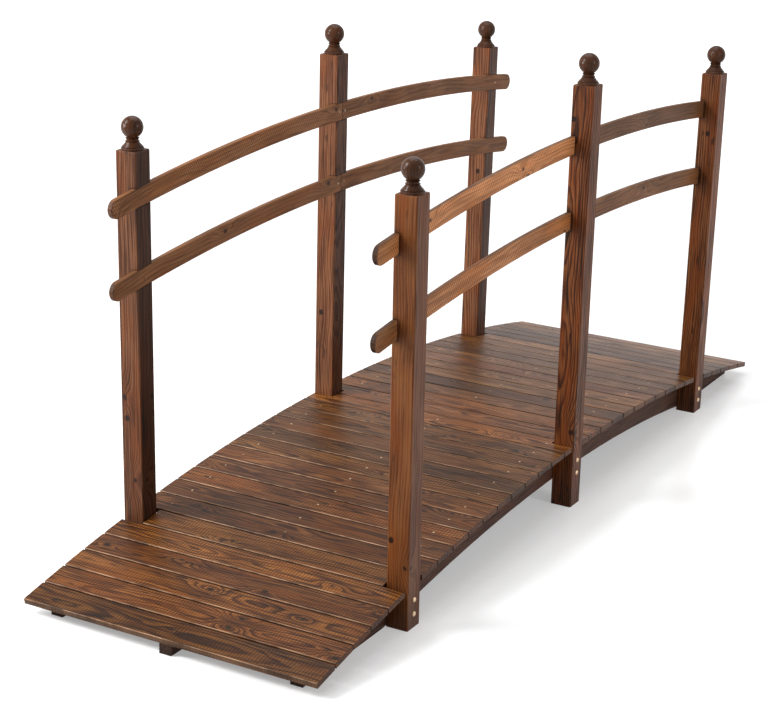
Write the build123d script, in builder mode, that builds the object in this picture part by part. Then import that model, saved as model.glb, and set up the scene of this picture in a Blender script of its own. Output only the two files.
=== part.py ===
from build123d import *
from math import asin, cos, degrees, radians, sin, sqrt
import os

os.makedirs("parts", exist_ok=True)

# Arched timber garden bridge with a post and two curved rails on each side.
# X runs along the walkway, the near end is -X. Y runs across, the left side is +Y.
# Z is up and the feet stand on Z = 0. All lengths are in millimetres.

# Deck boards
plank_width = 63.5
plank_gap = 4.3
plank_thickness = 12.0
plank_edge = 1.0
planks_mid_to_post = 11
planks_past_post = 5
deck_width = 690.0
deck_crown_height = 149.0
deck_end_height = 33.5

# Stringers under the boards
stringer_thickness = 28.0
stringer_depth = 76.5
side_stringer_setback = 27.0
middle_stringer_setback = 2
arch_foot_past_post = 36.0

# Posts
post_side = 50.0
post_edge = 2.0
width_over_posts = 695.0
end_post_lean = 0.67
end_post_above_rail = 71.0
middle_post_above_rail = 113.0
board_to_post_clearance = 4.0

# Rails
rail_height = 41.0
rail_thickness = 12.0
rail_edge = 1.5
rail_drop_to_end_post = 46.0
rail_past_post = 91.0
upper_rail_above_deck = 718.0
rail_spacing = 171.0
housing_slack = 0.2
butt_gap = 0.4

# Turned finials
ball_radius = 23.1
ball_join_radius = 11.5
collar_radius = 14.6
collar_height = 3.8
neck_radius = 12.4
neck_height = 2.4
ring_radius = 15.0
ring_height = 3.0
slope_radius = 13.6
slope_height = 8.0
bead_radius = 21.4
bead_height = 2.6
base_radius = 23.6
base_height = 5.8
base_bevel = 1.6
turning_step = 0.9

# Arc of the deck, laid out from the boards that cover it
plank_pitch = plank_width + plank_gap
planks_per_half = planks_mid_to_post + 1 + planks_past_post
deck_half_arc = planks_per_half * plank_pitch - plank_gap / 2
deck_rise = deck_crown_height - deck_end_height
deck_radius = deck_half_arc**2 / (2 * deck_rise) - deck_rise / 6
deck_centre = deck_crown_height - deck_radius
deck_half_length = deck_radius * sin(deck_half_arc / deck_radius)
stringer_top_radius = deck_radius - plank_thickness

# Places of the posts
post_angle = (planks_mid_to_post + 0.5) * plank_pitch / deck_radius
lean = radians(end_post_lean)
post_deck_height = deck_centre + deck_radius * cos(post_angle)
end_post_x = deck_radius * sin(post_angle) - post_deck_height * sin(lean)
post_outer_y = width_over_posts / 2
post_inner_y = post_outer_y - post_side
post_centre_y = post_outer_y - post_side / 2

# Underside of the stringers
arch_height = deck_crown_height - plank_thickness - stringer_depth
arch_half_span = end_post_x + arch_foot_past_post
arch_radius = (arch_half_span**2 + arch_height**2) / (2 * arch_height)
arch_centre = arch_height - arch_radius
side_stringer_half_length = deck_half_length - side_stringer_setback
middle_stringer_half_length = deck_half_length - middle_stringer_setback
stringer_y = post_inner_y - stringer_thickness / 2

# Rails
upper_rail_top = deck_crown_height + upper_rail_above_deck
lower_rail_top = upper_rail_top - rail_spacing
rail_radius = (end_post_x**2 + rail_drop_to_end_post**2) / (2 * rail_drop_to_end_post)
rail_line_radius = rail_radius - rail_height / 2
rail_half_length = end_post_x + post_side / 2 + rail_past_post
end_post_height = upper_rail_top - rail_drop_to_end_post + end_post_above_rail
middle_post_height = upper_rail_top + middle_post_above_rail


def on_arc(centre, radius, angle):
    return Vector(radius * sin(angle), centre + radius * cos(angle))


# Stringers, the boards' bearers: a bent top edge, an arched underside and flat feet
def stringer_profile(half_length):
    with BuildSketch(Plane.XZ.offset(-stringer_thickness / 2)) as profile:
        with Locations((0, deck_centre)):
            Circle(stringer_top_radius)
        with Locations((0, 0)):
            Rectangle(2 * half_length, 2 * deck_crown_height, mode=Mode.INTERSECT)
        with Locations((0, -deck_crown_height)):
            Rectangle(
                2 * deck_half_length,
                2 * deck_crown_height,
                mode=Mode.SUBTRACT,
            )
        with Locations((0, arch_centre)):
            Circle(arch_radius, mode=Mode.SUBTRACT)
    return profile.sketch


with BuildPart() as stringer_middle:
    extrude(stringer_profile(middle_stringer_half_length), amount=stringer_thickness)
stringer_middle.part.label = "middle stringer"

with BuildPart() as side_stringer:
    extrude(stringer_profile(side_stringer_half_length), amount=stringer_thickness)

with BuildPart() as stringer_left:
    with Locations((0, stringer_y, 0)):
        add(side_stringer.part)
stringer_left.part.label = "left stringer"

with BuildPart() as stringer_right:
    mirror(stringer_left.part, about=Plane.XZ)
stringer_right.part.label = "right stringer"


# Deck boards: flat boards laid square to the arc, edges eased along the top
def board_seats(first, count):
    seats = []
    for index in range(first, first + count):
        angle = (index + 0.5) * plank_pitch / deck_radius
        radius = deck_radius - plank_thickness / 2
        seats.append(
            Location(
                (radius * sin(angle), 0, deck_centre + radius * cos(angle)),
                (0, degrees(angle), 0),
            )
        )
    return seats


with BuildPart() as board:
    Box(plank_width, deck_width, plank_thickness)
    top_edges = board.faces().sort_by(Axis.Z)[-1].edges().filter_by(Axis.Y)
    chamfer(top_edges, plank_edge)

with BuildPart() as deck_far_span:
    with Locations(*board_seats(1, planks_mid_to_post - 1)):
        add(board.part)
deck_far_span.part.label = "far span boards"

with BuildPart() as deck_near_span:
    mirror(deck_far_span.part, about=Plane.YZ)
deck_near_span.part.label = "near span boards"

with BuildPart() as deck_far_end:
    with Locations(*board_seats(planks_mid_to_post + 1, planks_past_post)):
        add(board.part)
deck_far_end.part.label = "far end boards"

with BuildPart() as deck_near_end:
    mirror(deck_far_end.part, about=Plane.YZ)
deck_near_end.part.label = "near end boards"

# The board at an end post is cut short to fit between the posts
short_board_length = 2 * (post_inner_y - board_to_post_clearance)
with BuildPart() as deck_far_post_board:
    with Locations(*board_seats(planks_mid_to_post, 1)):
        Box(plank_width, short_board_length, plank_thickness)
    top_edges = deck_far_post_board.faces().sort_by(Axis.Z)[-1].edges().filter_by(Axis.Y)
    chamfer(top_edges, plank_edge)
deck_far_post_board.part.label = "far post board"

with BuildPart() as deck_near_post_board:
    mirror(deck_far_post_board.part, about=Plane.YZ)
deck_near_post_board.part.label = "near post board"

# The two boards at mid-span are notched round the middle posts
notch_length = post_side + 2 * board_to_post_clearance
notch_floor_y = post_inner_y - board_to_post_clearance
with BuildPart() as deck_middle_far_board:
    with Locations(*board_seats(0, 1)):
        add(board.part)
    for side in (-1, 1):
        with Locations((0, side * (notch_floor_y + post_side), deck_crown_height)):
            Box(notch_length, 2 * post_side, 4 * plank_thickness, mode=Mode.SUBTRACT)
deck_middle_far_board.part.label = "middle far board"

with BuildPart() as deck_middle_near_board:
    mirror(deck_middle_far_board.part, about=Plane.YZ)
deck_middle_near_board.part.label = "middle near board"


# Rails: each is two curved lengths butted on the middle post, with round ends
def rail_profile(top, slack):
    """Side view of a whole rail whose top edge crowns at the given height."""
    centre = top - rail_radius
    outer = rail_radius + slack
    inner = rail_radius - rail_height - slack
    end = asin((rail_half_length - rail_height / 2) / rail_line_radius)
    nose = (rail_height / 2 + slack) * Vector(cos(end), -sin(end))
    far_tip = on_arc(centre, rail_line_radius, end) + nose
    with BuildSketch(Plane.XZ.offset(-post_inner_y)) as profile:
        with BuildLine():
            ThreePointArc(
                on_arc(centre, outer, -end),
                on_arc(centre, outer, 0),
                on_arc(centre, outer, end),
            )
            ThreePointArc(on_arc(centre, outer, end), far_tip, on_arc(centre, inner, end))
            ThreePointArc(
                on_arc(centre, inner, end),
                on_arc(centre, inner, 0),
                on_arc(centre, inner, -end),
            )
            ThreePointArc(
                on_arc(centre, inner, -end),
                Vector(-far_tip.X, far_tip.Y),
                on_arc(centre, outer, -end),
            )
        make_face()
    return profile.sketch


with BuildPart() as rail_left_upper_far:
    extrude(rail_profile(upper_rail_top, 0), amount=-rail_thickness)
    split(bisect_by=Plane.YZ.offset(butt_gap / 2), keep=Keep.TOP)
    inner_edges = rail_left_upper_far.faces().sort_by(Axis.Y)[0].edges().sort_by(Axis.X)[1:]
    outer_edges = rail_left_upper_far.faces().sort_by(Axis.Y)[-1].edges().sort_by(Axis.X)[1:]
    chamfer(inner_edges + outer_edges, rail_edge)
rail_left_upper_far.part.label = "left upper far rail"

with BuildPart() as rail_left_lower_far:
    extrude(rail_profile(lower_rail_top, 0), amount=-rail_thickness)
    split(bisect_by=Plane.YZ.offset(butt_gap / 2), keep=Keep.TOP)
    inner_edges = rail_left_lower_far.faces().sort_by(Axis.Y)[0].edges().sort_by(Axis.X)[1:]
    outer_edges = rail_left_lower_far.faces().sort_by(Axis.Y)[-1].edges().sort_by(Axis.X)[1:]
    chamfer(inner_edges + outer_edges, rail_edge)
rail_left_lower_far.part.label = "left lower far rail"

with BuildPart() as rail_left_upper_near:
    mirror(rail_left_upper_far.part, about=Plane.YZ)
rail_left_upper_near.part.label = "left upper near rail"

with BuildPart() as rail_left_lower_near:
    mirror(rail_left_lower_far.part, about=Plane.YZ)
rail_left_lower_near.part.label = "left lower near rail"

with BuildPart() as rail_right_upper_far:
    mirror(rail_left_upper_far.part, about=Plane.XZ)
rail_right_upper_far.part.label = "right upper far rail"

with BuildPart() as rail_right_lower_far:
    mirror(rail_left_lower_far.part, about=Plane.XZ)
rail_right_lower_far.part.label = "right lower far rail"

with BuildPart() as rail_right_upper_near:
    mirror(rail_right_upper_far.part, about=Plane.YZ)
rail_right_upper_near.part.label = "right upper near rail"

with BuildPart() as rail_right_lower_near:
    mirror(rail_right_lower_far.part, about=Plane.YZ)
rail_right_lower_near.part.label = "right lower near rail"


# Posts: square, eased edges, bevelled top, housed for the rails on the inner face
def post_plane(x, tilt, height):
    up = Vector(sin(tilt), 0, cos(tilt))
    foot = Vector(x, post_centre_y, 0)
    return Plane(origin=foot + up * height, x_dir=Vector(cos(tilt), 0, -sin(tilt)), z_dir=up)


def post_section(x, tilt):
    with BuildSketch(post_plane(x, tilt, -post_side)) as section:
        Rectangle(post_side, post_side)
    return section.sketch


def housings():
    upper = rail_profile(upper_rail_top, housing_slack)
    lower = rail_profile(lower_rail_top, housing_slack)
    return [*upper.faces(), *lower.faces()]


with BuildPart() as post_left_far:
    extrude(post_section(end_post_x, lean), amount=end_post_height + post_side)
    long_edges = post_left_far.edges().group_by(SortBy.LENGTH)[-1]
    top_edges = post_left_far.faces().sort_by(Axis.Z)[-1].edges()
    chamfer(long_edges + top_edges, post_edge)
    split(bisect_by=Plane.XY, keep=Keep.TOP)
    extrude(housings(), amount=-rail_thickness, mode=Mode.SUBTRACT)
post_left_far.part.label = "left far post"

with BuildPart() as post_left_middle:
    extrude(post_section(0, 0), amount=middle_post_height + post_side)
    long_edges = post_left_middle.edges().group_by(SortBy.LENGTH)[-1]
    top_edges = post_left_middle.faces().sort_by(Axis.Z)[-1].edges()
    chamfer(long_edges + top_edges, post_edge)
    split(bisect_by=Plane.XY, keep=Keep.TOP)
    extrude(housings(), amount=-rail_thickness, mode=Mode.SUBTRACT)
post_left_middle.part.label = "left middle post"

with BuildPart() as post_left_near:
    mirror(post_left_far.part, about=Plane.YZ)
post_left_near.part.label = "left near post"

with BuildPart() as post_right_far:
    mirror(post_left_far.part, about=Plane.XZ)
post_right_far.part.label = "right far post"

with BuildPart() as post_right_middle:
    mirror(post_left_middle.part, about=Plane.XZ)
post_right_middle.part.label = "right middle post"

with BuildPart() as post_right_near:
    mirror(post_right_far.part, about=Plane.YZ)
post_right_near.part.label = "right near post"

# Finial, turned from one piece: base, bead, slope, ring, neck, collar and ball
bead_start = base_height
slope_start = bead_start + bead_height
ring_start = slope_start + slope_height
neck_start = ring_start + ring_height
collar_start = neck_start + neck_height
ball_start = collar_start + collar_height
ball_height = ball_start + sqrt(ball_radius**2 - ball_join_radius**2)
with BuildPart() as finial:
    with BuildSketch(Plane.XZ):
        with BuildLine():
            Polyline(
                (0, ball_height + ball_radius),
                (0, 0),
                (base_radius, 0),
                (base_radius, base_height - base_bevel),
                (base_radius - base_bevel, base_height),
                (bead_radius - turning_step, bead_start),
                (bead_radius, bead_start + bead_height / 2),
                (bead_radius - turning_step, slope_start),
                (bead_radius - 2 * turning_step, slope_start),
                (slope_radius, ring_start),
                (ring_radius, ring_start + ring_height / 2),
                (neck_radius, neck_start),
                (neck_radius, collar_start),
                (collar_radius, (collar_start + ball_start) / 2),
                (ball_join_radius, ball_start),
            )
            ThreePointArc(
                (ball_join_radius, ball_start),
                (ball_radius, ball_height),
                (0, ball_height + ball_radius),
            )
        make_face()
    revolve(axis=Axis.Z)


# Each finial stands square on the top of its post
def finial_seat(x, tilt, height):
    top = post_plane(x, tilt, height).origin
    return Location(top, (0, degrees(tilt), 0))


with BuildPart() as finials_left:
    near_seat = finial_seat(-end_post_x, -lean, end_post_height)
    middle_seat = finial_seat(0, 0, middle_post_height)
    far_seat = finial_seat(end_post_x, lean, end_post_height)
    with Locations(near_seat, middle_seat, far_seat):
        add(finial.part)
finials_left.part.label = "left finials"

with BuildPart() as finials_right:
    mirror(finials_left.part, about=Plane.XZ)
finials_right.part.label = "right finials"

export_step(stringer_left.part, "parts/stringer_left.step")
export_step(stringer_middle.part, "parts/stringer_middle.step")
export_step(stringer_right.part, "parts/stringer_right.step")
export_step(deck_near_end.part, "parts/deck_near_end.step")
export_step(deck_near_post_board.part, "parts/deck_near_post_board.step")
export_step(deck_near_span.part, "parts/deck_near_span.step")
export_step(deck_middle_near_board.part, "parts/deck_middle_near_board.step")
export_step(deck_middle_far_board.part, "parts/deck_middle_far_board.step")
export_step(deck_far_span.part, "parts/deck_far_span.step")
export_step(deck_far_post_board.part, "parts/deck_far_post_board.step")
export_step(deck_far_end.part, "parts/deck_far_end.step")
export_step(post_left_near.part, "parts/post_left_near.step")
export_step(post_left_middle.part, "parts/post_left_middle.step")
export_step(post_left_far.part, "parts/post_left_far.step")
export_step(post_right_near.part, "parts/post_right_near.step")
export_step(post_right_middle.part, "parts/post_right_middle.step")
export_step(post_right_far.part, "parts/post_right_far.step")
export_step(rail_left_upper_near.part, "parts/rail_left_upper_near.step")
export_step(rail_left_upper_far.part, "parts/rail_left_upper_far.step")
export_step(rail_left_lower_near.part, "parts/rail_left_lower_near.step")
export_step(rail_left_lower_far.part, "parts/rail_left_lower_far.step")
export_step(rail_right_upper_near.part, "parts/rail_right_upper_near.step")
export_step(rail_right_upper_far.part, "parts/rail_right_upper_far.step")
export_step(rail_right_lower_near.part, "parts/rail_right_lower_near.step")
export_step(rail_right_lower_far.part, "parts/rail_right_lower_far.step")
export_step(finials_left.part, "parts/finials_left.step")
export_step(finials_right.part, "parts/finials_right.step")
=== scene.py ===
from math import atan2, cos, pi, radians, sin

import bmesh
import bpy
from mathutils import Matrix, Vector
from mathutils.bvhtree import BVHTree


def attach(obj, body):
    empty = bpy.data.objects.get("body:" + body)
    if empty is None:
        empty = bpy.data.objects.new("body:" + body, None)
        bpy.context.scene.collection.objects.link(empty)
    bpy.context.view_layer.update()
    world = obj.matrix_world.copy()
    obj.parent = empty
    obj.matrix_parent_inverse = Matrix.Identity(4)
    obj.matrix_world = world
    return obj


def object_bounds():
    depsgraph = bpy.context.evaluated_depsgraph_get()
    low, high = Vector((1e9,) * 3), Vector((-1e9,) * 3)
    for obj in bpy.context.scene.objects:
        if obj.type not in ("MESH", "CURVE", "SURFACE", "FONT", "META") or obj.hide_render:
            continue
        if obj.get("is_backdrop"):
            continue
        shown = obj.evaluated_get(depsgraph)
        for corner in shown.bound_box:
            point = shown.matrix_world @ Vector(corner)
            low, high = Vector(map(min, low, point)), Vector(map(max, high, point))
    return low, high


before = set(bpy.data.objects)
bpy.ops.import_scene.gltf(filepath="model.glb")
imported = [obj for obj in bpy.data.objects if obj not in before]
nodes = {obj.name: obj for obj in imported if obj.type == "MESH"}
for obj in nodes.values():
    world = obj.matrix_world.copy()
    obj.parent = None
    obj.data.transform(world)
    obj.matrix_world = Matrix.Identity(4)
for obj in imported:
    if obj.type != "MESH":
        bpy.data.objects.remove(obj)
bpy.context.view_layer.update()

scene = bpy.context.scene
MM = 0.001

# Sizes of the deck, the rails and the posts, in metres, as in the part's source
PLANK_PITCH = 67.8 * MM
PLANK_GAP = 4.3 * MM
BOARDS_PER_HALF = 17
DECK_CROWN = 149 * MM
DECK_RISE = 115.5 * MM
DECK_HALF_ARC = BOARDS_PER_HALF * PLANK_PITCH - PLANK_GAP / 2
DECK_RADIUS = DECK_HALF_ARC**2 / (2 * DECK_RISE) - DECK_RISE / 6
STRINGER_Y = 283.5 * MM
POST_CENTRE_Y = 322.5 * MM
RAIL_INNER_Y = 297.5 * MM
RAIL_RADIUS = 6.57
RAIL_HEIGHT = 41 * MM
UPPER_RAIL_TOP = 867 * MM
LOWER_RAIL_TOP = 696 * MM

# The end posts at their bolts, and how much further out their lean takes the finials
END_POST_X = 776 * MM
FINIAL_SHIFT = 11 * MM

# The order of names and sides that the seeds below count through
SIDES = (("left", 1), ("right", -1))
POST_ROWS = (("near", -END_POST_X), ("middle", 0), ("far", END_POST_X))
RAIL_LEVELS = (("upper", UPPER_RAIL_TOP), ("lower", LOWER_RAIL_TOP))


def paint(red, green, blue):
    """A colour given in display values from 0 to 255, as linear light."""
    linear = []
    for value in (red, green, blue):
        share = value / 255
        linear.append(share / 12.92 if share <= 0.04045 else ((share + 0.055) / 1.055) ** 2.4)
    return (*linear, 1.0)


def grey(value):
    return (value, value, value, 1.0)


class Graph:
    """Short calls for building a shader's node tree."""

    def __init__(self, tree):
        self.tree = tree

    def node(self, kind, **settings):
        made = self.tree.nodes.new(kind)
        for name, value in settings.items():
            setattr(made, name, value)
        return made

    def feed(self, socket, value):
        if isinstance(value, bpy.types.NodeSocket):
            self.tree.links.new(value, socket)
        elif value is not None:
            socket.default_value = value

    def math(self, operation, first, second=None, third=None, clamp=False):
        made = self.node("ShaderNodeMath", operation=operation, use_clamp=clamp)
        for socket, value in zip(made.inputs, (first, second, third)):
            self.feed(socket, value)
        return made.outputs[0]

    def plus(self, first, second, clamp=False):
        return self.math("ADD", first, second, clamp=clamp)

    def minus(self, first, second):
        return self.math("SUBTRACT", first, second)

    def times(self, first, second):
        return self.math("MULTIPLY", first, second)

    def over(self, first, second):
        return self.math("DIVIDE", first, second)

    def size(self, value):
        """The value without its sign."""
        return self.math("ABSOLUTE", value)

    def square(self, value):
        return self.math("POWER", value, 2)

    def distance(self, first, second):
        return self.math("SQRT", self.plus(self.square(first), self.square(second)))

    def wave(self, value, pitch):
        """A sine that comes round once in each pitch of the value."""
        return self.math("SINE", self.times(value, 2 * pi / pitch))

    def join(self, x, y, z):
        made = self.node("ShaderNodeCombineXYZ")
        for socket, value in zip(made.inputs, (x, y, z)):
            self.feed(socket, value)
        return made.outputs[0]

    def split(self, vector):
        made = self.node("ShaderNodeSeparateXYZ")
        self.feed(made.inputs[0], vector)
        return made.outputs

    def scaled(self, vector, factor):
        made = self.node("ShaderNodeVectorMath", operation="SCALE")
        self.feed(made.inputs[0], vector)
        made.inputs["Scale"].default_value = factor
        return made.outputs[0]

    def chance(self, seed):
        """Three even shares from 0 to 1, settled by the seed."""
        made = self.node("ShaderNodeTexWhiteNoise", noise_dimensions="1D")
        self.feed(made.inputs["W"], seed)
        return self.split(made.outputs["Color"])

    def noise(self, vector, seed, detail=2.0, roughness=0.5):
        """Noise about 1 unit in size, from 0 to 1, another one for each seed."""
        made = self.node("ShaderNodeTexNoise", noise_dimensions="4D")
        self.feed(made.inputs["Vector"], vector)
        self.feed(made.inputs["W"], seed)
        made.inputs["Scale"].default_value = 1.0
        made.inputs["Detail"].default_value = detail
        made.inputs["Roughness"].default_value = roughness
        return made.outputs["Fac"]

    def span(self, value, low, high, to_low=0.0, to_high=1.0, smooth=True):
        """to_low where the value is low, to_high where it is high, and eased between."""
        kind = "SMOOTHSTEP" if smooth else "LINEAR"
        made = self.node("ShaderNodeMapRange", interpolation_type=kind)
        for socket, number in zip(made.inputs, (value, low, high, to_low, to_high)):
            self.feed(socket, number)
        return made.outputs[0]

    def line(self, value, low, high, to_low, to_high):
        """As span, but straight between its ends."""
        return self.span(value, low, high, to_low, to_high, smooth=False)

    def mix(self, share, first, second, blend="MIX"):
        made = self.node("ShaderNodeMix", data_type="RGBA", blend_type=blend)
        self.feed(made.inputs["Factor"], share)
        self.feed(made.inputs[6], first)
        self.feed(made.inputs[7], second)
        return made.outputs[2]

    def ramp(self, value, stops):
        made = self.node("ShaderNodeValToRGB")
        self.feed(made.inputs[0], value)
        elements = made.color_ramp.elements
        elements[0].position, elements[0].color = stops[0]
        elements[1].position, elements[1].color = stops[-1]
        for place, colour in stops[1:-1]:
            elements.new(place).color = colour
        return made.outputs[0]


# One year's growth from its inside out, 0 for pale early wood and 1 for dark late wood
YEAR = ((0.0, 0.25), (0.14, 0.05), (0.5, 0.3), (0.8, 0.9), (0.93, 1.0), (1.0, 0.3))

# The cells that may hold a knot each, in millimetres along and across the grain
KNOT_CELL_LENGTH = 210
KNOT_CELL_WIDTH = 60
# The luck below which a cell has no knot, and the smallest and largest knot's radius
KNOT_LUCK = 0.68
KNOT_RADII = (3.2, 6.5)
# How far a knot pushes the rings aside, and the reach of that along and across, in millimetres
KNOT_PUSH = 17
KNOT_FLOW_LENGTH = 40
KNOT_FLOW_WIDTH = 13


def grain_group():
    """Fir: growth rings round a wandering pith, knots that turn them, fibres and stain.

    Grain is (along, across, deep) in millimetres. Each seed is another plank, Pith is how
    far below the surface its heart lies, Waves how much it wanders and Ring a year's growth.
    """
    tree = bpy.data.node_groups.new("fir_grain", "ShaderNodeTree")
    tree.interface.new_socket("Grain", in_out="INPUT", socket_type="NodeSocketVector")
    for name in ("Seed", "Pith", "Waves", "Ring"):
        tree.interface.new_socket(name, in_out="INPUT", socket_type="NodeSocketFloat")
    for name in ("Rings", "Fibres", "Knots", "Patches", "Streaks", "Blush"):
        tree.interface.new_socket(name, in_out="OUTPUT", socket_type="NodeSocketFloat")
    g = Graph(tree)
    given = g.node("NodeGroupInput").outputs
    along, across, deep = g.split(given["Grain"])
    seed = given["Seed"]

    def cloud(length, width, seed_shift=0.0, detail=2.0, roughness=0.5):
        """Noise with spots of this length and width in millimetres."""
        place = g.join(g.over(along, length), g.over(across, width), g.over(deep, width))
        return g.noise(place, g.plus(seed, seed_shift) if seed_shift else seed, detail, roughness)

    # The pith wanders across and in depth, and each plank is cut at another place from it
    chance = g.chance(seed)
    wander = g.span(cloud(420, 900, detail=1.0), 0.2, 0.8, -26, 26)
    sway = g.span(cloud(300, 900, 31.7, detail=1.0), 0.2, 0.8, -16, 16)
    pith_across = g.line(chance[0], 0, 1, -34, 34)
    pith_across = g.math("MULTIPLY_ADD", wander, given["Waves"], pith_across)
    pith_deep = g.plus(given["Pith"], g.line(chance[1], 0, 1, -16, 16))
    pith_deep = g.math("MULTIPLY_ADD", sway, given["Waves"], pith_deep)
    radius = g.distance(g.minus(across, pith_across), g.plus(deep, pith_deep))

    # Knots, oval along the grain; the rings flow round them
    spread = g.join(
        g.over(along, KNOT_CELL_LENGTH),
        g.plus(g.over(across, KNOT_CELL_WIDTH), g.times(seed, 3.3)),
        g.times(seed, 1.7),
    )
    cells = g.node("ShaderNodeTexVoronoi", voronoi_dimensions="2D")
    g.feed(cells.inputs["Vector"], spread)
    cells.inputs["Scale"].default_value = 1.0
    cells.inputs["Randomness"].default_value = 0.9
    here = g.split(spread)
    centre = g.split(cells.outputs["Position"])
    luck = g.split(cells.outputs["Color"])
    knot_along = g.times(g.minus(here[0], centre[0]), KNOT_CELL_LENGTH)
    knot_across = g.times(g.minus(here[1], centre[1]), KNOT_CELL_WIDTH)
    oval = g.distance(g.over(knot_along, 1.5), knot_across)
    ragged = g.plus(oval, g.line(cloud(6, 4), 0, 1, -2.4, 2.4))
    present = g.span(luck[0], KNOT_LUCK, KNOT_LUCK + 0.02)
    knot_radius = g.line(luck[1], 0, 1, *KNOT_RADII)
    rim = (g.times(knot_radius, 1.25), g.times(knot_radius, 0.45))
    knot = g.times(present, g.span(ragged, *rim))
    flow_length = g.square(g.over(knot_along, KNOT_FLOW_LENGTH))
    flow_width = g.square(g.over(knot_across, KNOT_FLOW_WIDTH))
    flow = g.math("EXPONENT", g.times(g.plus(flow_length, flow_width), -1))
    radius = g.plus(radius, g.times(g.times(flow, present), KNOT_PUSH))

    # Rings, a little uneven in width and rippled
    ripple = g.line(cloud(95, 22, 5.1, detail=3.0), 0.2, 0.8, -5, 5)
    radius = g.math("MULTIPLY_ADD", ripple, given["Waves"], radius)
    uneven = g.noise(g.join(g.over(radius, 16), seed, 0.0), 4.0, detail=1.0)
    turns = g.plus(g.over(radius, given["Ring"]), g.line(uneven, 0, 1, -1.3, 1.3))
    ring = g.ramp(g.math("FRACT", turns), [(place, grey(value)) for place, value in YEAR])

    # Fibres, broad patches, dark streaks and smudges, and warm blushes
    fibre = cloud(110, 2.6, 9.3, detail=3.0, roughness=0.6)
    patch = cloud(130, 42, 14.9)
    streak = g.span(cloud(120, 4.2, 22.4, roughness=0.4), 0.56, 0.68)
    smudge = g.span(cloud(50, 12, 60.3, detail=1.0), 0.67, 0.74)
    blush = g.span(cloud(170, 30, 40.2, detail=1.0), 0.48, 0.68)
    out = g.node("NodeGroupOutput").inputs
    g.feed(out["Rings"], ring)
    g.feed(out["Fibres"], fibre)
    g.feed(out["Knots"], knot)
    g.feed(out["Patches"], patch)
    g.feed(out["Streaks"], g.math("MAXIMUM", streak, smudge))
    g.feed(out["Blush"], blush)
    return tree


GRAIN = grain_group()


class Wood:
    """A stained fir material, laid along grain coordinates that the caller builds."""

    def __init__(self, name):
        self.material = bpy.data.materials.new(name)
        self.material.use_nodes = True
        self.g = Graph(self.material.node_tree)
        self.shader = self.material.node_tree.nodes["Principled BSDF"]
        place = self.g.node("ShaderNodeTexCoord").outputs["Object"]
        self.x, self.y, self.z = self.g.split(self.g.scaled(place, 1 / MM))
        facing = self.g.node("ShaderNodeNewGeometry").outputs["Normal"]
        self.facing = self.g.split(facing)

    def finish(
        self,
        grain,
        seed,
        stain,
        pith=26,
        waves=1.0,
        ring=5.2,
        shade=None,
        ridges=None,
        ridge_depth=0.12,
        ridge_tone=0.15,
        roughness=(0.4, 0.55),
        contrast=1.0,
        pale_arris_and_highlight=None,
        gloss=0.16,
    ):
        """Lays the fir's grain, stain, saw marks and a pale arris, partly a painted highlight, on
        the shader.
        """
        g = self.g
        group = g.node("ShaderNodeGroup")
        group.node_tree = GRAIN
        for socket, value in zip(group.inputs, (grain, seed, pith, waves, ring)):
            g.feed(socket, value)
        rings, fibres, knots, patches, streaks, blush = group.outputs
        light, middle, dark, orange, black = stain

        # How dark the grain is, from rings, fibres and patches together
        depth = g.times(rings, 0.6 * contrast)
        depth = g.plus(depth, g.line(fibres, 0.3, 0.7, -0.36 * contrast, 0.42 * contrast))
        depth = g.plus(depth, g.line(patches, 0.3, 0.7, -0.14, 0.3), clamp=True)
        colour = g.ramp(depth, [(0.0, light), (0.4, middle), (1.0, dark)])
        layers = (
            (blush, 0.6, orange),
            (rings, 0.45 * contrast, dark),
            (streaks, 0.7 * contrast, black),
            (knots, 0.9, black),
        )
        for where, strength, tint in layers:
            colour = g.mix(g.times(where, strength), colour, tint)

        height = g.plus(g.times(fibres, 0.22), g.times(rings, 0.12))
        if ridges is not None:
            scraped = g.line(ridges, 0, 1, 1 - ridge_tone, 1 + 1.3 * ridge_tone)
            colour = g.mix(1.0, colour, g.join(scraped, scraped, scraped), "MULTIPLY")
            height = g.math("MULTIPLY_ADD", ridges, ridge_depth, height)
        if shade is not None:
            colour = g.mix(1.0, colour, shade, "MULTIPLY")
        # The pale arris, partly a painted highlight, laid over the colour
        if pale_arris_and_highlight is not None:
            colour = g.mix(pale_arris_and_highlight, colour, PALE_ARRIS_AND_HIGHLIGHT)
        g.feed(self.shader.inputs["Base Color"], colour)
        g.feed(self.shader.inputs["Roughness"], g.line(depth, 0, 1, *roughness))
        self.shader.inputs["Specular IOR Level"].default_value = gloss
        bump = g.node("ShaderNodeBump")
        bump.inputs["Strength"].default_value = 0.8
        bump.inputs["Distance"].default_value = 1 * MM
        g.feed(bump.inputs["Height"], height)
        g.feed(self.shader.inputs["Normal"], bump.outputs[0])
        return self.material


def dress(node, material):
    nodes[node].data.materials.clear()
    nodes[node].data.materials.append(material)


def stain(*colours):
    """Light, middle and dark grain, warm patches and the black of knots and streaks."""
    return tuple(paint(*colour) for colour in colours)


DECK_STAIN = stain((136, 91, 56), (92, 55, 31), (36, 17, 9), (120, 71, 33), (16, 9, 6))
POST_STAIN = stain((146, 94, 62), (112, 64, 37), (48, 22, 11), (140, 72, 28), (20, 10, 7))
RAIL_STAIN = stain((148, 100, 64), (120, 77, 46), (64, 34, 18), (144, 86, 42), (30, 17, 12))
BEARER_STAIN = stain((98, 68, 56), (78, 52, 42), (44, 26, 20), (92, 58, 40), (24, 15, 12))
FINIAL_STAIN = stain((76, 47, 30), (56, 33, 21), (30, 15, 9), (80, 45, 24), (18, 9, 7))
# A pale sawn arris, partly a painted highlight
PALE_ARRIS_AND_HIGHLIGHT = paint(206, 160, 124)

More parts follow.
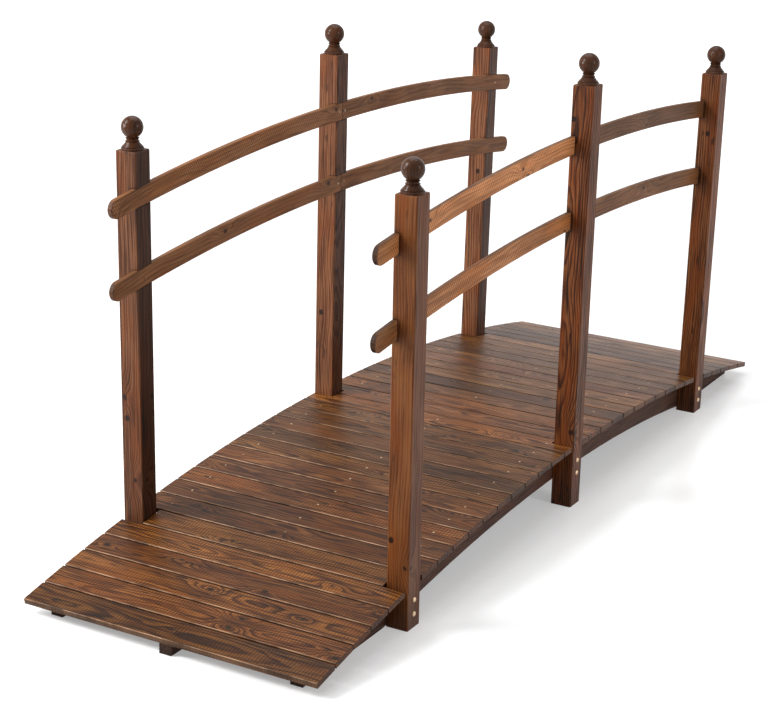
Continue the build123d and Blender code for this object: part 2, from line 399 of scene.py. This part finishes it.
# The saw's marks on boards and rails, and on posts, in millimetres from mark to mark
SAW_PITCH = 7.2
POST_SAW_PITCH = 5.5

# Half the length over which the deck's colour changes, and where a board's pale arris, partly
# a painted highlight, and its darker arris, a painted shade of the gaps, begin and end on each
# side of its middle, all in millimetres
DECK_REACH = 900
PALE_AND_HIGHLIGHT_START = 29.6
GAP_SHADE_START = 29.2
ARRIS_END = 30.6


def deck_wood():
    wood = Wood("deck_boards")
    g = wood.g
    pitch = PLANK_PITCH / MM
    height = g.minus(wood.z, (DECK_CROWN - DECK_RADIUS) / MM)
    arc = g.times(g.math("ARCTAN2", wood.x, height), DECK_RADIUS / MM)
    counted = g.over(arc, pitch)
    index = g.math("FLOOR", counted)
    across = g.times(g.minus(g.math("FRACT", counted), 0.5), pitch)
    deep = g.minus(g.distance(wood.x, height), DECK_RADIUS / MM)
    seed = g.times(g.plus(index, 40), 1.618)
    chance = g.chance(g.plus(index, 0.5))
    grain = g.join(g.plus(wood.y, g.times(index, 731)), across, deep)

    # Saw ridges across each board, in patches
    wobble = g.noise(g.join(g.over(wood.y, 60), g.over(across, 30), index), 3.0)
    phase = g.plus(g.times(wood.y, 2 * pi / SAW_PITCH), g.line(wobble, 0, 1, 0, 9))
    where = g.noise(g.join(g.over(wood.y, 150), g.over(across, 45), index), 7.0)
    strength = g.span(chance[2], 0.1, 0.9, 0.35, 1.2)
    ridges = g.times(
        g.span(g.math("SINE", phase), -0.3, 0.9),
        g.times(g.span(where, 0.3, 0.6, 0.3, 1), strength),
    )

    # Paler sawn arris along the near edge of each board, broken into dashes; partly a painted
    # highlight where the edge faces the light
    rim = g.span(across, -PALE_AND_HIGHLIGHT_START, -ARRIS_END)
    dashes = g.join(g.over(wood.y, 110), index, 0.0)
    dash = g.noise(dashes, 11.0, detail=3.0, roughness=0.7)
    pale_arris_and_highlight = g.times(rim, g.span(dash, 0.38, 0.62, 0.1, 0.8))
    pale_arris_and_highlight = g.times(pale_arris_and_highlight, g.span(wood.x, 250, -700, 0.08, 0.85))
    pale_arris_and_highlight = g.times(pale_arris_and_highlight, g.span(wood.facing[2], 0.2, 0.6, 0.2, 1.0))

    # Each board's own tone, lighter on its near edge, and darker at its arrises, a painted shade
    # of the gaps between boards
    end_grain = g.span(g.size(wood.facing[1]), 0.6, 0.8)
    tone = g.line(chance[0], 0, 1, 0.52, 1.28)
    tone = g.times(tone, g.span(wood.facing[0], -0.9, -0.6, 1.7, 1.0))
    tone = g.times(tone, g.span(end_grain, 0, 1, 1.0, 0.9))
    # Painted shade of the gap along both arrises
    tone = g.times(tone, g.span(g.size(across), GAP_SHADE_START, ARRIS_END, 1.0, 0.4))
    warmth = g.line(chance[1], 0, 1, 0.95, 1.14)
    warmth = g.times(warmth, g.line(wood.x, -DECK_REACH, DECK_REACH, 0.84, 0.92))
    warmth = g.times(warmth, g.span(end_grain, 0, 1, 1.0, 0.8))
    cool = g.line(wood.x, -DECK_REACH, DECK_REACH, 0.62, 0.74)
    cool = g.times(cool, g.line(chance[2], 0, 1, 1.2, 0.84))
    cool = g.times(cool, g.span(end_grain, 0, 1, 1.0, 0.6))
    green = g.times(tone, warmth)
    return wood.finish(
        grain,
        seed,
        DECK_STAIN,
        waves=0.6,
        shade=g.join(tone, green, g.times(green, cool)),
        ridges=ridges,
        ridge_depth=0.16,
        ridge_tone=0.26,
        roughness=(0.35, 0.48),
        pale_arris_and_highlight=pale_arris_and_highlight,
        gloss=0.14,
    )


def rail_arc(g, x, z, top):
    """Distance along a rail, and up from its middle line, in millimetres."""
    up = g.minus(z, (top - RAIL_RADIUS) / MM)
    along = g.times(g.math("ARCTAN2", x, up), RAIL_RADIUS / MM)
    return along, g.minus(g.distance(x, up), (RAIL_RADIUS - RAIL_HEIGHT / 2) / MM)


def post_wood(name, x, side, seed, faces, pith, waves, contrast, tint, knot):
    """A post's own fir.

    faces is how light the wood is along the bridge, outwards and inwards, tint its green
    and blue, and knot the height and y of a knot that goes through the post.
    """
    wood = Wood(name)
    g = wood.g
    along_x, outward, inward = faces
    knot_z, knot_y = knot
    aside = g.minus(wood.x, x / MM)
    behind = g.minus(wood.y, side * POST_CENTRE_Y / MM)

    # The grain runs up the post, its rings turned so that all four faces show them
    grain = g.join(
        wood.z,
        g.times(g.plus(aside, behind), 0.8),
        g.times(g.minus(aside, behind), 0.8),
    )
    side_face = g.span(g.times(wood.facing[1], side), -0.3, 0.3, inward, outward)
    flat = g.span(g.size(wood.facing[0]), 0.5, 0.7)
    tone = g.times(side_face, g.minus(1, flat))
    tone = g.math("MULTIPLY_ADD", flat, along_x, tone)
    tone = g.times(tone, g.span(wood.z, 0, 120, 0.66, 1.0))

    # Painted contact shade at the rims of the rails' housings, and a painted shadow of the rails
    # on the faces beside them
    half_rail = RAIL_HEIGHT / MM / 2
    rail_shadow_depth = -0.5 if side < 0 else -0.1
    for _, top in RAIL_LEVELS:
        rise = g.size(rail_arc(g, wood.x, wood.z, top)[1])
        rim = g.span(rise, half_rail, half_rail + 3, 0.35, 1.0)
        inner = g.span(g.times(behind, side), -24, 0, 0, 1)
        tone = g.times(tone, g.math("MAXIMUM", rim, inner))
        # The rail's painted shadow on the post's face beside it, deeper on the right posts
        beside = g.span(g.times(behind, side), -25, 2, 1, 0)
        share = g.times(g.times(g.span(rise, 18, 36, 1, 0), beside), flat)
        tone = g.times(tone, g.math("MULTIPLY_ADD", share, rail_shadow_depth, 1))
    from_knot = g.distance(g.over(g.minus(wood.z, knot_z), 1.2), g.minus(wood.y, knot_y))
    tone = g.times(tone, g.span(from_knot, 4.0, 7.5, 0.1, 1.0))
    green = g.times(tone, g.span(flat, 0, 1, 1.03, tint[0]))
    blue = g.times(tone, g.span(flat, 0, 1, 1.1, tint[1]))
    return wood.finish(
        grain,
        seed,
        POST_STAIN,
        pith=pith,
        waves=waves,
        ring=6.4,
        shade=g.join(tone, green, blue),
        ridges=g.span(g.wave(wood.z, POST_SAW_PITCH), 0.2, 1, 0, 0.2),
        ridge_depth=0.05,
        roughness=(0.44, 0.58),
        contrast=contrast,
    )


def rail_wood(name, side, top, seed, inward, outward, edges, sawn, stub):
    """One rail length's own fir.

    inward, outward and edges are how light it is on its faces and narrow edges, sawn how
    strong its saw marks are and stub how light its near end is, past the post.
    """
    wood = Wood(name)
    g = wood.g
    arc, rise = rail_arc(g, wood.x, wood.z, top)
    grain = g.join(arc, rise, g.minus(wood.y, side * RAIL_INNER_Y / MM))

    # Saw marks that lean a little, in patches
    saw = g.math("SINE", g.math("MULTIPLY_ADD", arc, 2 * pi / SAW_PITCH, g.times(rise, 0.5)))
    where = g.noise(g.join(g.over(arc, 120), g.over(rise, 40), 0.0), seed)
    ridges = g.times(g.span(saw, -0.2, 1), g.span(where, 0.35, 0.6, 0.15 * sawn, 0.9 * sawn))

    # Darker at the joint on the middle post, on the round ends and past the near post
    broad = g.span(g.times(wood.facing[1], side), -0.3, 0.3, inward, outward)
    tone = g.span(g.size(wood.facing[1]), 0.3, 0.7, edges, broad)
    tone = g.times(tone, g.span(g.size(wood.x), 0.6, 2.4, 0.2, 1.0))
    end = g.span(g.size(wood.facing[0]), 0.35, 0.7, 1.0, 0.5)
    tone = g.times(tone, end)
    tone = g.times(tone, g.span(wood.x, -802, -826, 1.0, stub))
    blue = g.times(tone, g.span(end, 0.5, 1.0, 1.25, 1.0))
    return wood.finish(
        grain,
        seed,
        RAIL_STAIN,
        waves=0.5,
        ring=6.5,
        shade=g.join(tone, tone, blue),
        ridges=ridges,
        ridge_depth=0.14,
        ridge_tone=0.28,
        roughness=(0.5, 0.62),
        contrast=0.45,
    )


def bearer_wood(name, y, seed):
    """A stringer's fir, with dark ends."""
    wood = Wood(name)
    g = wood.g
    grain = g.join(wood.x, wood.z, g.minus(wood.y, y / MM))
    tone = g.span(g.size(wood.facing[0]), 0.5, 0.8, 1.0, 0.35)
    shade = g.join(tone, tone, tone)
    return wood.finish(grain, seed, BEARER_STAIN, shade=shade, roughness=(0.6, 0.7))


def finial_wood():
    """The turned wood of all finials, with another seed on each post."""
    wood = Wood("turned_finials")
    g = wood.g
    post_number = g.math("ROUND", g.over(wood.x, END_POST_X / MM))
    row = g.math("SIGN", wood.y)
    local_x = g.minus(wood.x, g.times(post_number, (END_POST_X + FINIAL_SHIFT) / MM))
    local_y = g.minus(wood.y, g.times(row, POST_CENTRE_Y / MM))
    return wood.finish(
        g.join(wood.z, local_x, local_y),
        g.plus(g.times(post_number, 2.7), g.times(row, 7.1)),
        FINIAL_STAIN,
        pith=60,
        waves=0.2,
        ring=6.0,
        roughness=(0.2, 0.25),
        contrast=0.4,
        gloss=0.12,
    )


# For post_wood, from faces to knot
POST_LOOKS = {
    "left_near": ((0.74, 0.7, 0.29), 70, 0.3, 0.85, (1.02, 1.0), (319, 333)),
    "left_middle": ((0.93, 0.7, 0.46), 40, 0.7, 0.8, (1.02, 0.98), (356, 332)),
    "left_far": ((0.9, 0.7, 0.5), 60, 0.4, 0.8, (1.0, 0.95), (560, 318)),
    "right_near": ((0.83, 0.7, 0.6), 80, 0.4, 0.45, (0.9, 0.58), (190, -306)),
    "right_middle": ((0.88, 0.95, 0.6), 30, 0.7, 1.2, (0.86, 0.6), (905, -304)),
    "right_far": ((0.76, 1.1, 0.6), 50, 0.5, 1.0, (0.88, 0.62), (742, -325)),
}
# For rail_wood, from inward to stub
RAIL_LOOKS = {
    "left_upper_near": (1.1, 1.0, 0.9, 1.1, 1.0),
    "left_upper_far": (1.0, 1.0, 1.0, 0.7, 1.0),
    "left_lower_near": (1.2, 1.1, 0.9, 0.3, 0.9),
    "left_lower_far": (1.1, 1.0, 1.0, 0.7, 1.0),
    "right_upper_near": (1.2, 2.7, 0.6, 1.0, 0.72),
    "right_upper_far": (0.8, 0.7, 0.6, 0.6, 1.0),
    "right_lower_near": (1.1, 1.9, 0.6, 1.2, 0.5),
    "right_lower_far": (0.95, 0.95, 0.6, 0.6, 1.0),
}

deck_material = deck_wood()
finial_material = finial_wood()
for node in nodes:
    if node.startswith("deck_"):
        dress(node, deck_material)
for number, (side_name, side) in enumerate(SIDES):
    for place, (place_name, x) in enumerate(POST_ROWS):
        key = f"{side_name}_{place_name}"
        seed = 12.3 + 4.7 * place + 17.9 * number
        dress(f"post_{key}", post_wood(f"post_{key}_fir", x, side, seed, *POST_LOOKS[key]))
    for level, (level_name, top) in enumerate(RAIL_LEVELS):
        for place, place_name in enumerate(("near", "far")):
            key = f"{side_name}_{level_name}_{place_name}"
            seed = 51.3 + 3.1 * level + 6.7 * place + 13.3 * number
            dress(f"rail_{key}", rail_wood(f"rail_{key}_fir", side, top, seed, *RAIL_LOOKS[key]))
    dress(f"finials_{side_name}", finial_material)
for number, (name, y) in enumerate((("left", STRINGER_Y), ("middle", 0), ("right", -STRINGER_Y))):
    dress(f"stringer_{name}", bearer_wood(f"stringer_{name}_fir", y, 80.2 + 5.9 * number))


# Fasteners; nothing lies as far out as this, so by itself the stain covers none
NOT_STAINED = -9.0


def metal(name, colour, roughness, blotches, per_metre, stained_from=NOT_STAINED):
    """Blotched plating; nearer than stained_from along the bridge the stain covers it."""
    material = bpy.data.materials.new(name)
    material.use_nodes = True
    g = Graph(material.node_tree)
    shader = material.node_tree.nodes["Principled BSDF"]
    shader.inputs["Metallic"].default_value = 0.6
    place = g.node("ShaderNodeTexCoord").outputs["Object"]
    cloud = g.noise(g.scaled(place, per_metre), 1.0, detail=3.0)
    covered = g.span(g.split(place)[0], stained_from, stained_from - 0.15)
    share = g.math("MAXIMUM", g.span(cloud, 0.35, 0.75), covered)
    g.feed(shader.inputs["Base Color"], g.mix(share, colour, blotches))
    g.feed(shader.inputs["Roughness"], g.line(cloud, 0.3, 0.7, roughness, roughness + 0.15))
    return material


screw_metal = metal("screw_zinc", paint(188, 166, 138), 0.4, paint(92, 58, 38), 18, -0.6)
bolt_metal = metal("bolt_zinc", paint(232, 206, 172), 0.34, paint(190, 150, 108), 400)

# Sizes of the fasteners, in millimetres
SCREW_RADIUS = 2.4
SCREW_TOP = 0.55
SLOT_REACH = 0.46
SLOT_WAIST = 0.16
BOLT_RADIUS = 5.6
BOLT_TOP = 3.2
WASHER_RADIUS = 7
WASHER_TOP = 1.2
NUT_ACROSS_FLATS = 10
NUT_HEIGHT = 5
SHANK_RADIUS = 2.9
THREAD_PITCH = 0.7
THREAD_TURNS = 4


def turned(outline, segments=20):
    """A bmesh spun round Z from (radius, height) points in millimetres.

    Its first point is on the axis, and so may be its last.
    """
    shape = bmesh.new()
    rings = []
    for radius, height in outline:
        radius, height = radius * MM, height * MM
        if radius == 0:
            rings.append([shape.verts.new((0, 0, height))])
            continue
        turn = [2 * pi * step / segments for step in range(segments)]
        rings.append([shape.verts.new((radius * cos(t), radius * sin(t), height)) for t in turn])
    for lower, upper in zip(rings, rings[1:]):
        for step in range(segments):
            after = (step + 1) % segments
            if len(lower) == 1:
                shape.faces.new((lower[0], upper[after], upper[step]))
            elif len(upper) == 1:
                shape.faces.new((lower[step], lower[after], upper[0]))
            else:
                shape.faces.new((lower[step], lower[after], upper[after], upper[step]))
    return shape


def screw_head():
    """A countersunk head, proud of the wood, with a cross recess."""
    r = SCREW_RADIUS
    outline = [(0, -1.5), (0.9, -1.5), (r, -0.1), (r, 0.25), (0.85 * r, 0.5)]
    outline += [(0.62 * r, SCREW_TOP), (0.5 * r, SCREW_TOP)]
    shape = turned(outline, 24)

    # The innermost ring is joined to a floor that reaches out in four slots
    top, inside = SCREW_TOP * MM, 0.55 * r * MM
    rim = [v for v in shape.verts if abs(v.co.z - top) < 1e-6 and v.co.xy.length < inside]
    rim.sort(key=lambda v: atan2(v.co.y, v.co.x))
    floor = []
    for step, vert in enumerate(rim):
        reach = (SLOT_REACH if step % 6 == 0 else SLOT_WAIST) * r * MM
        direction = vert.co.xy.normalized()
        floor.append(shape.verts.new((reach * direction.x, reach * direction.y, 0.1 * MM)))
    for step in range(len(rim)):
        after = (step + 1) % len(rim)
        shape.faces.new((rim[step], rim[after], floor[after], floor[step]))
    shape.faces.new(floor)
    return shape


def bolt_head():
    """A domed carriage head."""
    r = BOLT_RADIUS
    turns = [radians(18 * step) for step in range(5)]
    dome = [(r * cos(a), 0.3 + (BOLT_TOP - 0.3) * sin(a)) for a in turns]
    return turned([(0, -0.5), (r * 0.98, -0.5), (r, 0.15)] + dome + [(0, BOLT_TOP)], 28)


def bolt_tail():
    """Washer, hexagon nut with eased corners and the end of the threaded shank."""
    r = WASHER_RADIUS
    shape = turned([(0, -0.3), (r, -0.3), (r, 0.9), (r - 0.3, WASHER_TOP), (0, WASHER_TOP)], 28)

    def add_cone(segments, low_radius, high_radius, depth, height):
        return bmesh.ops.create_cone(
            shape,
            cap_ends=True,
            segments=segments,
            radius1=low_radius * MM,
            radius2=high_radius * MM,
            depth=depth * MM,
            matrix=Matrix.Translation((0, 0, height * MM)),
        )

    nut_radius = NUT_ACROSS_FLATS / (2 * cos(pi / 6))
    nut = add_cone(6, nut_radius, nut_radius, NUT_HEIGHT, WASHER_TOP + NUT_HEIGHT / 2)
    edges = dict.fromkeys(e for v in nut["verts"] for e in v.link_edges)
    level = [e for e in edges if abs(e.verts[0].co.z - e.verts[1].co.z) < 1e-6]
    bmesh.ops.bevel(shape, geom=level, offset=0.5 * MM, segments=2, affect="EDGES")
    add_cone(20, SHANK_RADIUS, SHANK_RADIUS, 3, 7.2)
    for turn in range(THREAD_TURNS):
        add_cone(20, SHANK_RADIUS + 0.2, SHANK_RADIUS - 0.2, 0.5, 6.6 + THREAD_PITCH * turn)
    return shape


def surface(*names):
    """What fasteners are seated on: the named CAD nodes together."""
    shape = bmesh.new()
    for name in names:
        shape.from_mesh(nodes[name].data)
    tree = BVHTree.FromBMesh(shape)
    shape.free()
    return tree


def seat(tree, start, direction):
    """The place and outward direction where a line first meets the surface."""
    place, normal, _, _ = tree.ray_cast(Vector(start), Vector(direction))
    return place, normal


# From one copy to the next, in radians, so that no two slots line up
SPIN = 2.39996


def scatter(name, model, seats, material):
    """One mesh of copies of the model, each upright on its seat and turned a little."""
    pattern = bpy.data.meshes.new(name + "_model")
    model.to_mesh(pattern)
    model.free()
    whole = bmesh.new()
    for number, (place, normal) in enumerate(seats):
        spin = Matrix.Rotation(number * SPIN, 4, "Z")
        turn = normal.to_track_quat("Z", "Y").to_matrix().to_4x4()
        first = len(whole.verts)
        whole.from_mesh(pattern)
        whole.verts.ensure_lookup_table()
        matrix = Matrix.Translation(place) @ turn @ spin
        bmesh.ops.transform(whole, matrix=matrix, verts=whole.verts[first:])
    bmesh.ops.recalc_face_normals(whole, faces=whole.faces)
    mesh = bpy.data.meshes.new(name)
    whole.to_mesh(mesh)
    whole.free()
    for polygon in mesh.polygons:
        polygon.use_smooth = True
    mesh.set_sharp_from_angle(angle=radians(38))
    mesh.materials.append(material)
    piece = bpy.data.objects.new(name, mesh)
    scene.collection.objects.link(piece)
    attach(piece, "root")


# A screw in every board over each stringer, a few millimetres off the line
deck = surface(*[name for name in nodes if name.startswith("deck_")])
deck_seats = []
for board in range(-BOARDS_PER_HALF, BOARDS_PER_HALF):
    angle = (board + 0.5) * PLANK_PITCH / DECK_RADIUS
    for row, y in enumerate((-STRINGER_Y, 0, STRINGER_Y)):
        shift = 3 * MM * sin(7.3 * board + 2.1 * row)
        aside = 2.5 * MM * cos(4.1 * board + 3.7 * row)
        x = DECK_RADIUS * sin(angle) + shift
        deck_seats.append(seat(deck, (x, y + aside, 1), (0, 0, -1)))
scatter("deck_screws", screw_head(), deck_seats, screw_metal)

# A screw through each end of each rail length, at these places in millimetres
UPPER_SCREWS = ((12, 847), (-12, 847), (800, 797), (-800, 797))
LOWER_SCREWS = ((14, 677), (-14, 677), (787, 625), (-787, 625))
rail_seats = []
for side_name, side in SIDES:
    rails = surface(*[name for name in nodes if name.startswith("rail_" + side_name)])
    for x, z in UPPER_SCREWS + LOWER_SCREWS:
        rail_seats.append(seat(rails, (x * MM, 0, z * MM), (0, side, 0)))
scatter("rail_screws", screw_head(), rail_seats, screw_metal)

# Two bolts through each post and its stringer: the lower one's height, in millimetres
LOW_BOLTS = {"near": 30, "middle": 79, "far": 30}
BOLT_SPACING = 31
head_seats = []
tail_seats = []
for side_name, side in SIDES:
    bearer = surface("stringer_" + side_name)
    for place_name, x in POST_ROWS:
        post = surface(f"post_{side_name}_{place_name}")
        low = LOW_BOLTS[place_name]
        for z in (low, low + BOLT_SPACING):
            head_seats.append(seat(post, (x, side, z * MM), (0, -side, 0)))
            tail_seats.append(seat(bearer, (x, 0, z * MM), (0, side, 0)))
scatter("bolt_heads", bolt_head(), head_seats, bolt_metal)
scatter("bolt_nuts", bolt_tail(), tail_seats, bolt_metal)


# Studio: a white floor and surround that still take the bridge's shadow
def surround_seen(g):
    """1 for a ray that shows the surround itself, straight, mirrored or through glass."""
    ray = g.node("ShaderNodeLightPath").outputs
    straight = g.math("MAXIMUM", ray["Is Camera Ray"], ray["Is Glossy Ray"])
    return g.math("MAXIMUM", straight, ray["Is Transmission Ray"])


def floor_white(name, colour, near_lift, far_lift):
    """A floor that glows to the camera, and more so from 1.4 to 6 m away."""
    material = bpy.data.materials.new(name)
    material.use_nodes = True
    g = Graph(material.node_tree)
    shader = material.node_tree.nodes["Principled BSDF"]
    shader.inputs["Base Color"].default_value = colour
    shader.inputs["Roughness"].default_value = 0.22
    shader.inputs["Specular IOR Level"].default_value = 0.35
    shader.inputs["Emission Color"].default_value = grey(1.0)
    x, y, _ = g.split(g.node("ShaderNodeTexCoord").outputs["Object"])
    lift = g.span(g.distance(x, y), 1.4, 6.0, near_lift, far_lift)
    g.feed(shader.inputs["Emission Strength"], g.times(surround_seen(g), lift))
    return material


bpy.ops.mesh.primitive_plane_add(size=60, location=(0, 0, 0))
floor = bpy.context.object
floor.name = "floor"
floor.data.materials.append(floor_white("studio_floor", grey(0.78), 0.33, 0.8))
floor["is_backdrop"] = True

world = bpy.data.worlds.new("studio")
scene.world = world
world.use_nodes = True
sky = Graph(world.node_tree)
backdrop = world.node_tree.nodes["Background"]
backdrop.inputs["Color"].default_value = grey(1.0)
sky.feed(backdrop.inputs["Strength"], sky.line(surround_seen(sky), 0, 1, 0.34, 1.0))


def softbox(name, place, aim, size, watts):
    lamp = bpy.data.lights.new(name, "AREA")
    lamp.shape = "RECTANGLE"
    lamp.size, lamp.size_y = size
    lamp.energy = watts
    box = bpy.data.objects.new(name, lamp)
    box.location = place
    box.rotation_euler = (Vector(aim) - Vector(place)).to_track_quat("-Z", "Y").to_euler()
    scene.collection.objects.link(box)


softbox("key", (-2.6, 2.6, 3.4), (0, 0, 0.3), (1.6, 1.6), 160)
softbox("overhead", (0.6, 0.4, 4.2), (0, 0, 0), (3.0, 3.0), 80)
softbox("side", (-2.3, 2.5, 1.4), (0, 0, 0.7), (0.6, 0.9), 66)
softbox("rim", (-0.4, -3.4, 1.9), (0, 0, 0.6), (0.8, 1.4), 26)

# Camera at the photograph's place
lens = bpy.data.cameras.new("camera")
lens.lens = 95.05
lens.sensor_width = 36
camera = bpy.data.objects.new("camera", lens)
camera.location = (-4.03826, -2.08707, 1.77495)
camera.rotation_euler = (radians(71.8343), radians(-1.3857), radians(-60.3537))
scene.collection.objects.link(camera)
scene.camera = camera
scene.view_settings.view_transform = "Standard"

low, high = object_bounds()
